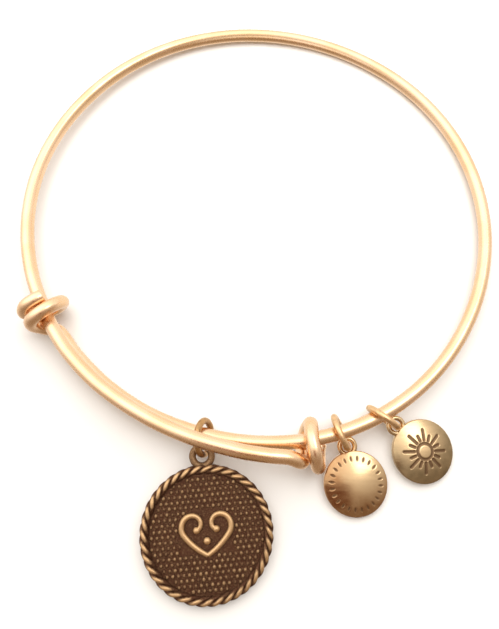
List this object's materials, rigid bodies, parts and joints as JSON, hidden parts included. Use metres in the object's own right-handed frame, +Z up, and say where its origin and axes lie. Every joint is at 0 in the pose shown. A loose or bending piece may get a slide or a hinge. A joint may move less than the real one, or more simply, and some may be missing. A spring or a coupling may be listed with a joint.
{
  "type": "bangle",
  "caption": "Expandable wire bangle whose two ends wrap round the wire, with a rope-edged medallion and two small domed tags on jump rings.",
  "frame": {"origin": "centre of the wire ring, on the surface that the bangle lies on", "axes": "+Z up, out of the hollow of the bangle; +Y in the plane of the ring, away from the charms; +X to the right"},
  "size_m": [0.0655, 0.0823, 0.0063],
  "materials": {
    "gold_wire": "satin yellow gold",
    "antique_brass": "darkened antique brass, rubbed bright on the raised parts",
    "antique_gold": "slightly darkened gold",
    "tag_gold": "polished, lightly worn gold"
  },
  "bodies": {
    "root": {"bangle_wire": "gold_wire", "medallion": "antique_brass", "medallion_ring": "antique_gold", "plain_tag": "tag_gold", "plain_tag_ring": "gold_wire", "engraved_tag": "tag_gold", "engraved_tag_ring": "gold_wire"}
  },
  "joints": []
}
